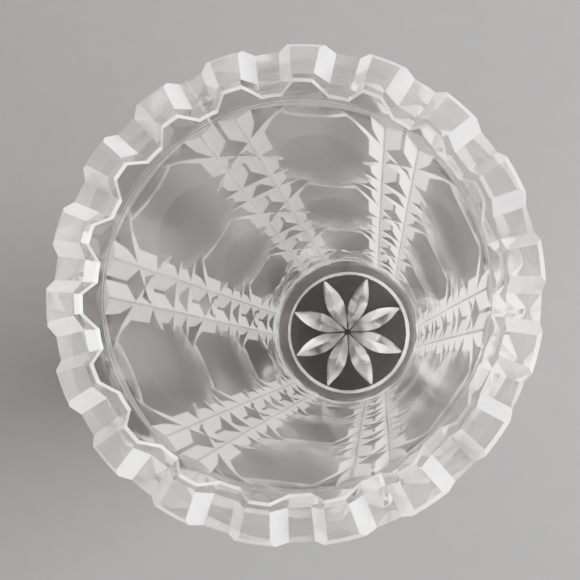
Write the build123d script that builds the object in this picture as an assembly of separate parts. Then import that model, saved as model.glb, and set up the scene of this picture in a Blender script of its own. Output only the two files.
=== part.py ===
from build123d import *
import math
import os

# Cut-glass cup, one piece of clear glass. Millimetres, +Z up, origin at the centre of the resting face.
# A panel of the pattern faces +X. Angles are degrees about +Z, counted from +X.

# Overall form
HEIGHT = 85.0
RIM_RADIUS = 25.0
BASE_RADIUS = 17.0
FLOOR_THICKNESS = 8.0
LIP_RADIUS = 21.0
LIP_DEPTH = 4.0
WALL_TOP_RADIUS = 20.3
WALL_MIDDLE_RADIUS = 17.5
WALL_MIDDLE_Z = 48.0
WALL_FOOT_RADIUS = 14.5
FLOOR_FILLET = 0.8
RIM_BEVEL = 0.5
LIP_BEVEL = 0.6
FOOT_BEVEL = 0.8
RECESS_RADIUS = 13.0
RECESS_DEPTH = 0.6

# Castellated rim
RIM_NOTCHES = 18
NOTCH_DEPTH = 1.9
NOTCH_FLOOR_HALF_ANGLE = 3.0
NOTCH_SLOPE_RUN = 1.45
NOTCH_INNER_END = 17.0
NOTCH_OUTER_END = 28.0
NOTCH_OVERSHOOT = 1.0

# Layout of the cut pattern. Crossings of the diagonal lines lie half a pitch apart in height,
# by turns in the middle of a column and in the middle of a panel.
PANELS = 6
ROWS = 3
BAND_DEPTH = 7.6
FOOT_BAND = 4.5
BAND_STEP = 0.25
FIRST_CROSSING_DEPTH = 16.1
HALF_PITCH = 11.4
COLUMN_HALF_WIDTH = 2.55
RING_HALF_GAP = 2.25

# V-shaped cuts: fine lines run all along the pattern, deep cuts only across the columns
CUT_HALF_ANGLE = 60.0
LINE_DEPTH = 0.65
RING_DEPTH = 0.5
DEEP_DEPTH = 1.42
DEEP_LENGTH = 26.0
CUTTER_REACH = 1.6
CUT_OVERRUN_ANGLE = 2.0

# Round hollow in each diamond of a panel
HOLLOW_DEPTH = 0.95
HOLLOW_WHEEL_RADIUS = 150.0
HOLLOW_EDGE_RADIUS = 29.0
HOLLOW_RISE = 0.6

# Star under the base
PETALS = 8
STAR_TURN = 15.0
PETAL_START = 0.6
PETAL_REACH = 12.2
PETAL_DEPTH = 1.75
PETAL_HALF_ANGLE = 46.0

PANEL_ANGLE = 360.0 / PANELS
TAPER = (RIM_RADIUS - BASE_RADIUS) / HEIGHT
TAPER_ANGLE = math.degrees(math.atan(TAPER))
BAND_Z = HEIGHT - BAND_DEPTH
FLAT_CUT_SLOPE = math.tan(math.radians(CUT_HALF_ANGLE))


def wall_radius(z):
    """Outer radius of the patterned wall at height z."""
    return BASE_RADIUS + TAPER * z - BAND_STEP


def on_wall(angle, z):
    """Point on the patterned wall."""
    turn = math.radians(angle)
    return Vector(wall_radius(z) * math.cos(turn), wall_radius(z) * math.sin(turn), z)


def level(step):
    """Height of a crossing, counted in half pitches down from the topmost column crossing."""
    return HEIGHT - FIRST_CROSSING_DEPTH - step * HALF_PITCH


def cup_blank():
    """Uncut cup: tapered wall between two plain bands, flared lip, thick floor, recessed underside."""
    shoulder_z = HEIGHT - RIM_BEVEL
    outside = Polyline(
        (0, RECESS_DEPTH),
        (RECESS_RADIUS - RECESS_DEPTH, RECESS_DEPTH),
        (RECESS_RADIUS, 0),
        (BASE_RADIUS - FOOT_BEVEL, 0),
        (BASE_RADIUS, FOOT_BEVEL),
        (wall_radius(FOOT_BAND) + BAND_STEP, FOOT_BAND),
        (wall_radius(FOOT_BAND), FOOT_BAND),
        (wall_radius(BAND_Z), BAND_Z),
        (wall_radius(BAND_Z) + BAND_STEP, BAND_Z),
        (wall_radius(shoulder_z) + BAND_STEP, shoulder_z),
        (RIM_RADIUS - RIM_BEVEL, HEIGHT),
        (LIP_RADIUS + LIP_BEVEL, HEIGHT),
        (LIP_RADIUS, HEIGHT - LIP_BEVEL),
        (WALL_TOP_RADIUS, HEIGHT - LIP_DEPTH),
    )
    foot = (WALL_FOOT_RADIUS, FLOOR_THICKNESS)
    wall = ThreePointArc(outside @ 1, (WALL_MIDDLE_RADIUS, WALL_MIDDLE_Z), foot)
    floor = Polyline(foot, (0, FLOOR_THICKNESS), (0, RECESS_DEPTH))
    section = make_face(Plane.XZ * Curve([outside, wall, floor]))
    corner = section.vertices().sort_by_distance((WALL_FOOT_RADIUS, 0, FLOOR_THICKNESS))[0]
    return revolve(fillet(corner, FLOOR_FILLET), Axis.Z)


def v_section(depth, radius=0.0):
    """Triangle in the XZ plane, its point at radius - depth, opening towards +X."""
    outer = radius + CUTTER_REACH
    half_width = (depth + CUTTER_REACH) * FLAT_CUT_SLOPE
    points = [(radius - depth, 0), (outer, half_width), (outer, -half_width)]
    return make_face(Plane.XZ * Polyline(*points, close=True))


def curved_cut(start, middle, end, depth):
    """Cutter that follows the circle through three points of the wall, with a little overrun."""
    circle = Edge.make_three_point_arc(start, middle, end)
    centre = circle.arc_center
    radius = (middle - centre).length
    span = math.degrees(circle.length / radius) + 2 * CUT_OVERRUN_ANGLE
    cutter = revolve(Rot(Z=-span / 2) * v_section(depth, radius), Axis.Z, span)
    normal = (middle - start).cross(end - middle)
    return Plane(origin=centre, x_dir=middle - centre, z_dir=normal).location * cutter


def straight_cut(middle, along, outward, depth, length):
    """Cutter along a straight line that touches the wall in its middle and leaves it at both ends."""
    cutter = extrude(v_section(depth), amount=length / 2, both=True)
    return Plane(origin=middle, x_dir=outward, z_dir=outward.cross(along)).location * cutter


def ring_line(z):
    """Fine line all round the wall, square to its slope."""
    section = Pos(wall_radius(z), 0, z) * (Rot(Y=TAPER_ANGLE) * v_section(RING_DEPTH))
    return revolve(section, Axis.Z)


def column_line(angle, side):
    """Deep cut down the whole wall, beside the middle of a column and parallel to it."""
    offset = side * COLUMN_HALF_WIDTH
    middle_z = (BAND_Z + FOOT_BAND) / 2
    radius = math.sqrt(wall_radius(middle_z) ** 2 - offset ** 2)
    along = Vector(TAPER, 0, 1)
    outward = Vector(radius, offset, -TAPER * radius)
    cut = straight_cut(Vector(radius, offset, middle_z), along, outward, DEEP_DEPTH, HEIGHT)
    return Rot(Z=angle) * cut


def column_crossing(angle, z, hand):
    """Deep diagonal cut across a column."""
    width = wall_radius(z) * math.radians(PANEL_ANGLE / 2)
    along = Vector(-TAPER * HALF_PITCH, hand * width, -HALF_PITCH)
    outward = Vector(1, 0, -TAPER)
    return Rot(Z=angle) * straight_cut(on_wall(0, z), along, outward, DEEP_DEPTH, DEEP_LENGTH)


def column_bar(angle, z):
    """Deep level cut across a column."""
    outward = Vector(1, 0, -TAPER)
    return Rot(Z=angle) * straight_cut(on_wall(0, z), Vector(0, 1, 0), outward, DEEP_DEPTH, DEEP_LENGTH)


def diagonal_line(angle, z, hand):
    """Fine line from a panel's middle, across a column at the given angle, to the next panel's middle."""
    start = on_wall(angle - hand * PANEL_ANGLE / 2, z + HALF_PITCH)
    end = on_wall(angle + hand * PANEL_ANGLE / 2, z - HALF_PITCH)
    return curved_cut(start, on_wall(angle, z), end, LINE_DEPTH)


def hollow(angle, z):
    """Shallow round hollow, as left by a wheel with a rounded edge turning about an upright axis."""
    ring = Pos(HOLLOW_WHEEL_RADIUS - HOLLOW_EDGE_RADIUS, 0) * Circle(HOLLOW_EDGE_RADIUS)
    core = Pos(HOLLOW_WHEEL_RADIUS, 0) * Rectangle(2 * HOLLOW_WHEEL_RADIUS, 2 * HOLLOW_EDGE_RADIUS)
    wheel = revolve(Plane.XZ * (ring & core), Axis.Z)
    offset = wall_radius(z) - HOLLOW_DEPTH + HOLLOW_WHEEL_RADIUS
    return Rot(Z=angle) * (Pos(offset, 0, z) * (Rot(Y=TAPER_ANGLE) * wheel))


def notch_section(radius, low):
    """Cross-section of a rim notch at a radius, its floor at height low."""
    high = HEIGHT + NOTCH_OVERSHOOT
    low_half = radius * math.tan(math.radians(NOTCH_FLOOR_HALF_ANGLE))
    high_half = low_half + NOTCH_SLOPE_RUN * (high - low) / NOTCH_DEPTH
    corners = [(-low_half, low), (low_half, low), (high_half, high), (-high_half, high)]
    return Pos(radius, 0, 0) * (Plane.YZ * make_face(Polyline(*corners, close=True)))


def rim_notch():
    """Flat-floored notch with sloping sides, widening outwards like the teeth beside it. Its inner end
    falls away as steeply as the bevel of the lip."""
    bevel_radius = LIP_RADIUS + LIP_BEVEL
    floor_z = HEIGHT - NOTCH_DEPTH
    inner = notch_section(NOTCH_INNER_END, floor_z - (bevel_radius - NOTCH_INNER_END))
    middle = notch_section(bevel_radius, floor_z)
    outer = notch_section(NOTCH_OUTER_END, floor_z)
    return loft([inner, middle], ruled=True) + loft([middle, outer], ruled=True)


def petal():
    """Leaf-shaped cut left by a pointed wheel held against the underside, along +X."""
    half_length = (PETAL_REACH - PETAL_START) / 2
    wheel_radius = (half_length ** 2 + PETAL_DEPTH ** 2) / (2 * PETAL_DEPTH)
    half_width = wheel_radius * math.tan(math.radians(PETAL_HALF_ANGLE))
    section = make_face(Polyline((wheel_radius, 0), (0, half_width), (0, -half_width), close=True))
    wheel = revolve(Plane.XZ * section, Axis.Z)
    height = RECESS_DEPTH + PETAL_DEPTH - wheel_radius
    return Pos(PETAL_START + half_length, 0, height) * Rot(X=90) * wheel


def around(count, first, make):
    """One shape made for each of a number of equally spaced angles."""
    return [make(first + k * 360.0 / count) for k in range(count)]


def pattern_cuts():
    """Every cut of the wall, grouped by kind."""
    column = PANEL_ANGLE / 2
    crossings = [level(2 * row) for row in range(ROWS + 1)]
    bars = [level(2 * row + 1) + side * RING_HALF_GAP for row in range(ROWS) for side in (-1, 1)]
    fine_diagonals = []
    deep_diagonals = []
    for z in crossings:
        for hand in (-1, 1):
            fine_diagonals += around(PANELS, column, lambda a: diagonal_line(a, z, hand))
            deep_diagonals += around(PANELS, column, lambda a: column_crossing(a, z, hand))
    deep_bars = []
    for z in bars:
        deep_bars += around(PANELS, column, lambda a: column_bar(a, z))
    uprights = []
    for side in (-1, 1):
        uprights += around(PANELS, column, lambda a: column_line(a, side))
    hollows = []
    for z in crossings[:ROWS]:
        hollows += around(PANELS, 0.0, lambda a: hollow(a, z + HOLLOW_RISE))
    rings = [ring_line(z) for z in bars]
    return [fine_diagonals, rings, uprights, deep_diagonals, deep_bars, hollows]


def glass_cup():
    """Cup with its pattern, rim and star. The wall and the plain bands are cut apart and then joined."""
    blank = cup_blank()
    patterned_height = BAND_Z - FOOT_BAND
    zone = Pos(0, 0, FOOT_BAND + patterned_height / 2) * Cylinder(RIM_RADIUS * 2, patterned_height)
    wall = blank & zone
    bands = blank - zone
    for cuts in pattern_cuts():
        wall = wall - cuts
    bands = bands - around(RIM_NOTCHES, 180.0 / RIM_NOTCHES, lambda a: Rot(Z=a) * rim_notch())
    for cut in around(PETALS, STAR_TURN, lambda a: Rot(Z=a) * petal()):
        bands = bands - cut
    return wall + bands


cup = glass_cup()
cup.label = "glass_cup"
print("solids", len(cup.solids()), "faces", len(cup.faces()), "valid", cup.is_valid)
print("volume", round(cup.volume), "box", cup.bounding_box().size)
os.makedirs("parts", exist_ok=True)
export_step(cup, "parts/glass_cup.step")
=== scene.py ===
import bpy
import math
from mathutils import Matrix, Vector


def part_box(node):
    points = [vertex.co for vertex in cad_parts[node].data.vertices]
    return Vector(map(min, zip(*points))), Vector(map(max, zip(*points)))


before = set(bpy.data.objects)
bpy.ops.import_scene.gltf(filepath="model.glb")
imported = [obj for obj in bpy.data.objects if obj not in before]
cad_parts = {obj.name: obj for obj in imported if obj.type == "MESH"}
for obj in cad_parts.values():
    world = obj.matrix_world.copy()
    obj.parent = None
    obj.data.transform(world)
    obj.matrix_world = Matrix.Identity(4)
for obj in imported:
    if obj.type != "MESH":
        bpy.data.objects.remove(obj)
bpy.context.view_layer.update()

# Where things lie on the cup, in metres
rim_z = Vector(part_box("glass_cup")[1]).z
TAPER = 8.0 / 85.0                # outward lean of the wall
WALL_FOOT = 16.75e-3              # outer radius of the patterned wall, carried down to the table
PATTERN_LOW = 4.5e-3
PATTERN_HIGH = 77.4e-3
SKIN = 2.1e-3                     # depth that holds every cut in the wall, with some room
V_POINT = 1.42e-3                 # depth of the point of a deep cut
POINT_START = V_POINT - 0.10e-3   # depth where the look of a point begins
POINT_FULL = V_POINT - 0.05e-3    # depth where it is complete
HOLLOW_START = 0.02e-3            # depth where the look of a hollow begins
HOLLOW_FULL = 0.3e-3              # depth where it is complete
LEDGE_ABOVE = 3.0e-3              # the upper ledge lies less than this under the top of the pattern
LEDGE_BELOW = 1.0e-3              # the lower ledge lies within this of the foot of the pattern
SEAM_ANGLE = 151.2                # degrees round from +X
SEAM_HALF_WIDTH = 0.16e-3
RIM_CUT = 2.0e-3                  # height of the toothed rim, with some room
LIP = 21.0e-3                     # inner radius at the foot of the rim's inner bevel
LIP_LEAN = 0.7 / 3.4              # inward lean of the wall from there down
LIP_BEVEL = 0.6e-3
LIP_LINE = 0.2e-3                 # width of the line along the foot of the inner bevel
LIP_ROOM = 1.5e-3                 # how far under the toothed rim that line may run
UNDERSIDE_TOP = 3.0e-3            # recess and star lie below this
UNDERSIDE_RADIUS = 13.1e-3        # and inside this
FOOT_TOP = 0.1e-3                 # the resting ring lies below this
CORNER_LOW = 8.75e-3              # the thin ring above the rounded corner inside runs from here
CORNER_HIGH = 10.2e-3             # to here
CORNER_RADIUS = 14.9e-3           # and inside this
INNER_TOP = PATTERN_HIGH + 2.0e-3  # the slightly rough inner wall ends here

# How surfaces face: 1 is straight up, or straight out from the axis, and -1 straight down, or straight in
V_SLOPE = 0.893                   # a V cut's side faces out of the wall less squarely than this
V_SHADED = -0.32                  # a V side that faces down this much is clear and gets painted shade
V_LIT = -0.2                      # one that faces down no more than this is pale satin, as painted light from above
LEVEL = 0.9                       # a ledge or the resting ring is at least this level
SEAM_OUT = 0.3
RIM_UP = 0.2
RIM_IN = -0.4
FLAT_START = 0.8                  # from a slope of the rim to a flat
FLAT_FULL = 0.95
BEVEL_UP = 0.3
BEVEL_IN = -0.3
UNDERSIDE_DOWN = -0.2
PETAL_SLOPE = -0.95               # a petal's side faces down less than this
CORNER_UP = 0.5
INNER_IN = -0.8

# Look of the glass
GLASS_INDEX = 1.51
FROST = 0.6                       # how much of a satin side is opaque
GLOW = 0.7                        # how much light from behind a satin side lets through
SATIN_COLOUR = (0.95, 0.91, 0.905, 1)
POINT_FROST = 0.5                 # how much of a cut's point is opaque
SLOPE_FROST = 0.85                # share of the full frost on the rim's slopes, and on the four parts below
RIM_FLAT = 0.2
LIP_FROST = 0.9
STAR_FROST = 0.08
FOOT_FROST = 0.3
CLEAR_TONE = 0.54                 # lightness of clear parts
SATIN_TONE = 0.97                 # lightness of satin parts
GREEN_BLUE = 0.985                # green and blue of the glass against its red
POINT_SHADE = 0.6                 # painted shade: how much darker each of these parts is made
SHADED_SHADE = 0.3
HOLLOW_SHADE = 0.45
PETAL_SHADE = 0.35
FROST_ROUGH = 0.12                # what each of these parts adds to the roughness
PETAL_ROUGH = 0.18
HOLLOW_ROUGH = 0.15
INNER_ROUGH = 0.16
SMEAR_ROUGH = 0.02
HOLLOW_PULL = 0.65                # how far a hollow's shading leans towards the plain wall's

# Floor, lights and camera
FLOOR_SIZE = 3.0
FLOOR_DROP = 0.05e-3              # gap under the cup
FLOOR_TONE = 0.1
FLOOR_MOTTLE = 0.04
SURROUNDINGS = 0.15               # lightness of the dim even surroundings
LAMP_COLOUR = (1.0, 0.97, 0.96)
LAMP_AIM = (0, 0, 0.045)
LIGHT_TURNS = 40                  # light turns many times inside cut glass
EYE_OUT = 14.6e-3                 # the camera's distance from the axis, along +X
EYE_ABOVE_RIM = 66.2e-3
AIM = (1.1e-3, 0.1e-3)            # the point at rim height that the camera looks at
IMAGE_RIGHT = 34.7                # degrees from +X to the right of the image
SENSOR_WIDTH = 36.0
LENS = 42.89
CLIP_START = 0.001


def new_material(name):
    """Node material with a Principled shader, and a short way to add math nodes to it."""
    material = bpy.data.materials.new(name)
    material.use_nodes = True
    return material, material.node_tree.nodes["Principled BSDF"], Graph(material.node_tree)


class Graph:
    """Short names for the nodes that a material is made of."""

    def __init__(self, tree):
        self.nodes = tree.nodes
        self.links = tree.links

    def put(self, value, socket):
        if isinstance(value, (int, float)):
            socket.default_value = value
        else:
            self.links.new(value, socket)

    def op(self, operation, a, b=0.0):
        node = self.nodes.new("ShaderNodeMath")
        node.operation = operation
        self.put(a, node.inputs[0])
        self.put(b, node.inputs[1])
        return node.outputs[0]

    def add(self, a, b):
        return self.op("ADD", a, b)

    def sub(self, a, b):
        return self.op("SUBTRACT", a, b)

    def times(self, first, *others):
        for other in others:
            first = self.op("MULTIPLY", first, other)
        return first

    def over(self, value, limit):
        return self.op("GREATER_THAN", value, limit)

    def under(self, value, limit):
        return self.op("LESS_THAN", value, limit)

    def any_of(self, first, *others):
        for other in others:
            first = self.op("MAXIMUM", first, other)
        return first

    def ramp(self, value, start, end, at_start=0.0, at_end=1.0):
        node = self.nodes.new("ShaderNodeMapRange")
        node.interpolation_type = "SMOOTHSTEP"
        self.put(value, node.inputs["Value"])
        node.inputs["From Min"].default_value = start
        node.inputs["From Max"].default_value = end
        node.inputs["To Min"].default_value = at_start
        node.inputs["To Max"].default_value = at_end
        return node.outputs["Result"]

    def noise(self, place, scale, detail):
        node = self.nodes.new("ShaderNodeTexNoise")
        node.inputs["Scale"].default_value = scale
        node.inputs["Detail"].default_value = detail
        self.links.new(place, node.inputs["Vector"])
        return node.outputs["Fac"]

    def split(self, vector):
        node = self.nodes.new("ShaderNodeSeparateXYZ")
        self.links.new(vector, node.inputs[0])
        return node.outputs

    def vector(self, operation, a, b=None):
        node = self.nodes.new("ShaderNodeVectorMath")
        node.operation = operation
        self.links.new(a, node.inputs[0])
        if b is not None:
            self.put(b, node.inputs["Scale"] if operation == "SCALE" else node.inputs[1])
        return node.outputs["Vector"]

    def join(self, x, y, z):
        node = self.nodes.new("ShaderNodeCombineXYZ")
        for value, socket in zip((x, y, z), node.inputs):
            self.put(value, socket)
        return node.outputs[0]

    def colour(self, red, green, blue):
        node = self.nodes.new("ShaderNodeCombineColor")
        for value, socket in zip((red, green, blue), node.inputs):
            self.put(value, socket)
        return node.outputs[0]


class Surface:
    """Where a point of the cup lies and how it faces, up and out, whichever side the light comes from."""

    def __init__(self, g):
        coords = g.nodes.new("ShaderNodeTexCoord")
        self.place = coords.outputs["Object"]
        self.normal = coords.outputs["Normal"]
        self.x, self.y, self.z = g.split(self.place)
        # Inside the glass the normal points inwards, and the sign turns it back out
        self.sign = g.sub(1.0, g.times(g.nodes.new("ShaderNodeNewGeometry").outputs["Backfacing"], 2.0))
        nx, ny, self.up = [g.times(part, self.sign) for part in g.split(self.normal)]
        self.radius = g.op("SQRT", g.add(g.times(self.x, self.x), g.times(self.y, self.y)))
        self.out = g.op("DIVIDE", g.add(g.times(self.x, nx), g.times(self.y, ny)), self.radius)
        self.out_of_wall = g.op("ABSOLUTE", g.sub(self.out, g.times(self.up, TAPER)))
        self.depth = g.sub(g.add(g.times(self.z, TAPER), WALL_FOOT), self.radius)


def wall_parts(g, s):
    """V sides facing up, pale satin as painted light; sides facing down; polished points; round hollows."""
    in_pattern = g.times(g.over(s.z, PATTERN_LOW), g.under(s.z, PATTERN_HIGH), g.under(s.depth, SKIN))
    v_side = g.times(in_pattern, g.under(s.out_of_wall, V_SLOPE))
    # Up-facing sides are made pale satin and down-facing ones darker: painted light and shade by facing
    lit_side = g.ramp(s.up, V_SHADED, V_LIT)
    # A cut's point is half opaque and darker: painted shade in the groove
    point = g.times(v_side, g.ramp(s.depth, POINT_START, POINT_FULL))
    facet = g.times(v_side, lit_side, g.sub(1.0, point))
    painted_shade_side = g.times(v_side, g.sub(1.0, lit_side))
    # The hollows are darkened later with painted shade
    hollow = g.times(in_pattern, g.over(s.out_of_wall, V_SLOPE), g.ramp(s.depth, HOLLOW_START, HOLLOW_FULL))
    return facet, painted_shade_side, point, hollow


def thin_lines(g, s):
    """Ledges above and below the pattern, and the seam across the rim and plain band."""
    upper_ledge = g.times(g.under(s.up, -LEVEL), g.over(s.z, PATTERN_HIGH - LEDGE_ABOVE))
    lower_ledge = g.times(g.over(s.up, LEVEL), g.over(s.z, PATTERN_LOW - LEDGE_BELOW),
                          g.under(s.z, PATTERN_LOW + LEDGE_BELOW))
    turn = math.radians(SEAM_ANGLE)
    across = g.sub(g.times(s.y, math.cos(turn)), g.times(s.x, math.sin(turn)))
    same_side = g.over(g.add(g.times(s.x, math.cos(turn)), g.times(s.y, math.sin(turn))), 0.0)
    seam = g.times(g.under(g.op("ABSOLUTE", across), SEAM_HALF_WIDTH), same_side,
                   g.over(s.z, PATTERN_HIGH), g.over(s.out, SEAM_OUT))
    return g.any_of(upper_ledge, lower_ledge, seam)


def rim_frost(g, s):
    """Rim: pale slopes and outer bevel, clearer flats, and a thin line at the inner bevel's foot."""
    on_rim = g.times(g.over(s.z, rim_z - RIM_CUT), g.over(s.up, RIM_UP), g.over(s.out, RIM_IN))
    rim = g.times(on_rim, g.ramp(s.up, FLAT_START, FLAT_FULL, at_start=SLOPE_FROST, at_end=RIM_FLAT))
    line_edge = g.sub(LIP + LIP_LINE, g.times(g.sub(rim_z - LIP_BEVEL, s.z), LIP_LEAN))
    lip_line = g.times(g.over(s.z, rim_z - RIM_CUT - LIP_ROOM), g.over(s.up, BEVEL_UP),
                       g.under(s.out, BEVEL_IN), g.under(s.radius, line_edge))
    return g.any_of(rim, g.times(lip_line, LIP_FROST))


def base_parts(g, s):
    """Petals of the star, and the frost of the underside, the resting ring and the ring round the floor."""
    underside = g.times(g.under(s.up, UNDERSIDE_DOWN), g.under(s.z, UNDERSIDE_TOP),
                        g.under(s.radius, UNDERSIDE_RADIUS))
    # The sloped underside, the star's petals and the recess cone, is darkened later with painted shade
    petals = g.times(underside, g.over(s.up, PETAL_SLOPE))
    foot_ring = g.times(g.under(s.up, -LEVEL), g.under(s.z, FOOT_TOP), FOOT_FROST)
    corner = g.times(g.over(s.z, CORNER_LOW), g.under(s.z, CORNER_HIGH), g.under(s.radius, CORNER_RADIUS),
                     g.under(s.up, CORNER_UP))
    return petals, g.any_of(g.times(underside, STAR_FROST), corner, foot_ring)


def leaned_normal(g, s, hollow):
    """Shading direction, which in a hollow leans towards the plain wall's and makes it look shallower."""
    wall_way = g.vector("NORMALIZE", g.join(s.x, s.y, g.times(s.radius, -TAPER)))
    pull = g.times(hollow, HOLLOW_PULL)
    own_way = g.vector("SCALE", s.normal, g.sub(1.0, pull))
    leaned = g.vector("ADD", own_way, g.vector("SCALE", wall_way, g.times(pull, s.sign)))
    return g.vector("NORMALIZE", leaned)


def cut_glass():
    """Clear glass whose rim teeth and up-facing cut sides are ground satin and pale, the cut sides also as
    painted light.

    Where a surface lies on the cup and which way it faces tell a cut's side from polished wall."""
    material, shader, g = new_material("cut_glass")
    s = Surface(g)
    grain = g.noise(s.place, scale=900.0, detail=3.0)
    smear = g.noise(s.place, scale=70.0, detail=2.0)
    patch = g.noise(s.place, scale=160.0, detail=1.0)
    facet, painted_shade_side, point, hollow = wall_parts(g, s)
    petals, base_frost = base_parts(g, s)
    inner_wall = g.times(g.under(s.out, INNER_IN), g.under(s.z, INNER_TOP))

    lit_lines = g.any_of(facet, thin_lines(g, s))
    frost_and_painted_light = g.any_of(lit_lines, rim_frost(g, s), base_frost)
    frost_and_painted_light = g.times(frost_and_painted_light, g.ramp(grain, 0.3, 0.7, at_start=0.86, at_end=1.0),
                    g.ramp(patch, 0.35, 0.65, at_start=0.75, at_end=1.0))

    tone = g.add(CLEAR_TONE, g.times(frost_and_painted_light, SATIN_TONE - CLEAR_TONE))
    # Painted shade: the cuts' points, their down-facing sides, the hollows and the star's petals are made
    # darker
    tone = g.times(tone, g.sub(1.0, g.times(point, POINT_SHADE)), g.sub(1.0, g.times(painted_shade_side, SHADED_SHADE)),
                   g.sub(1.0, g.times(hollow, HOLLOW_SHADE)), g.sub(1.0, g.times(petals, PETAL_SHADE)))
    g.put(g.colour(tone, g.times(tone, GREEN_BLUE), g.times(tone, GREEN_BLUE)), shader.inputs["Base Color"])
    clear = g.sub(1.0, g.add(g.times(frost_and_painted_light, FROST), g.times(point, POINT_FROST)))
    g.put(g.op("MAXIMUM", clear, 0.0), shader.inputs["Transmission Weight"])
    rough = g.add(g.times(frost_and_painted_light, FROST_ROUGH), g.times(petals, PETAL_ROUGH))
    rough = g.add(rough, g.add(g.times(hollow, HOLLOW_ROUGH), g.times(inner_wall, INNER_ROUGH)))
    g.put(g.add(rough, g.ramp(smear, 0.5, 0.8, at_end=SMEAR_ROUGH)), shader.inputs["Roughness"])
    shader.inputs["IOR"].default_value = GLASS_INDEX
    g.put(leaned_normal(g, s, hollow), shader.inputs["Normal"])

    satin = g.nodes.new("ShaderNodeBsdfTranslucent")
    satin.inputs["Color"].default_value = SATIN_COLOUR
    mix = g.nodes.new("ShaderNodeMixShader")
    g.put(g.times(lit_lines, g.ramp(grain, 0.3, 0.7, at_start=0.8, at_end=1.0), GLOW), mix.inputs[0])
    g.links.new(shader.outputs[0], mix.inputs[1])
    g.links.new(satin.outputs[0], mix.inputs[2])
    g.links.new(mix.outputs[0], g.nodes["Material Output"].inputs["Surface"])
    return material


def pale_floor():
    """Even pale grey tabletop with a faint mottle."""
    material, shader, g = new_material("pale_floor")
    place = g.nodes.new("ShaderNodeTexCoord").outputs["Object"]
    broad = g.noise(place, scale=6.0, detail=4.0)
    fine = g.noise(place, scale=220.0, detail=3.0)
    mottle = g.add(g.times(broad, 0.5), g.times(fine, 0.5))
    tone = g.ramp(mottle, 0.3, 0.7, FLOOR_TONE * (1 - FLOOR_MOTTLE), FLOOR_TONE * (1 + FLOOR_MOTTLE))
    g.put(g.colour(tone, tone, tone), shader.inputs["Base Color"])
    shader.inputs["Roughness"].default_value = 0.7
    shader.inputs["Specular IOR Level"].default_value = 0.2
    return material


def add_camera():
    """Camera close above the cup, a little to one side, looking down into it."""
    eye = Vector((EYE_OUT, 0.0, rim_z + EYE_ABOVE_RIM))
    target = Vector((*AIM, rim_z))
    turn = math.radians(IMAGE_RIGHT)
    data = bpy.data.cameras.new("camera")
    data.sensor_width = SENSOR_WIDTH
    data.lens = LENS
    data.clip_start = CLIP_START
    camera = bpy.data.objects.new("camera", data)
    bpy.context.collection.objects.link(camera)
    back = (eye - target).normalized()
    right = Vector((math.cos(turn), math.sin(turn), 0))
    right = (right - back * right.dot(back)).normalized()
    up = back.cross(right)
    camera.matrix_world = Matrix.Translation(eye) @ Matrix((right, up, back)).transposed().to_4x4()
    bpy.context.scene.camera = camera


def soft_panel(name, angle, distance, height, width, tall, power):
    """Rectangular soft light that faces the cup from one side."""
    data = bpy.data.lights.new(name, "AREA")
    data.shape = "RECTANGLE"
    data.size = width
    data.size_y = tall
    data.energy = power
    data.color = LAMP_COLOUR
    light = bpy.data.objects.new(name, data)
    bpy.context.collection.objects.link(light)
    turn = math.radians(angle)
    light.location = (distance * math.cos(turn), distance * math.sin(turn), height)
    light.rotation_euler = (Vector(LAMP_AIM) - light.location).to_track_quat("-Z", "Y").to_euler()


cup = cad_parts["glass_cup"]
cup.data.materials.clear()
cup.data.materials.append(cut_glass())

bpy.ops.mesh.primitive_plane_add(size=FLOOR_SIZE, location=(0, 0, -FLOOR_DROP))
floor = bpy.context.object
floor.name = "floor"
floor.data.materials.append(pale_floor())

add_camera()

# Plain studio: dim even surroundings, a soft top light and low soft panels on three sides
world = bpy.data.worlds.new("studio")
bpy.context.scene.world = world
world.use_nodes = True
world.node_tree.nodes["Background"].inputs["Color"].default_value = (SURROUNDINGS,) * 3 + (1,)
soft_panel("key", angle=20.0, distance=0.4, height=0.4, width=0.4, tall=0.4, power=5.0)
soft_panel("side_right", angle=45.0, distance=0.5, height=0.24, width=0.35, tall=0.25, power=28.0)
soft_panel("side_left", angle=150.0, distance=0.5, height=0.13, width=0.3, tall=0.2, power=3.5)
soft_panel("side_low", angle=265.0, distance=0.5, height=0.13, width=0.3, tall=0.2, power=8.0)

light_paths = bpy.context.scene.cycles
light_paths.max_bounces = LIGHT_TURNS
light_paths.glossy_bounces = LIGHT_TURNS
light_paths.transmission_bounces = LIGHT_TURNS
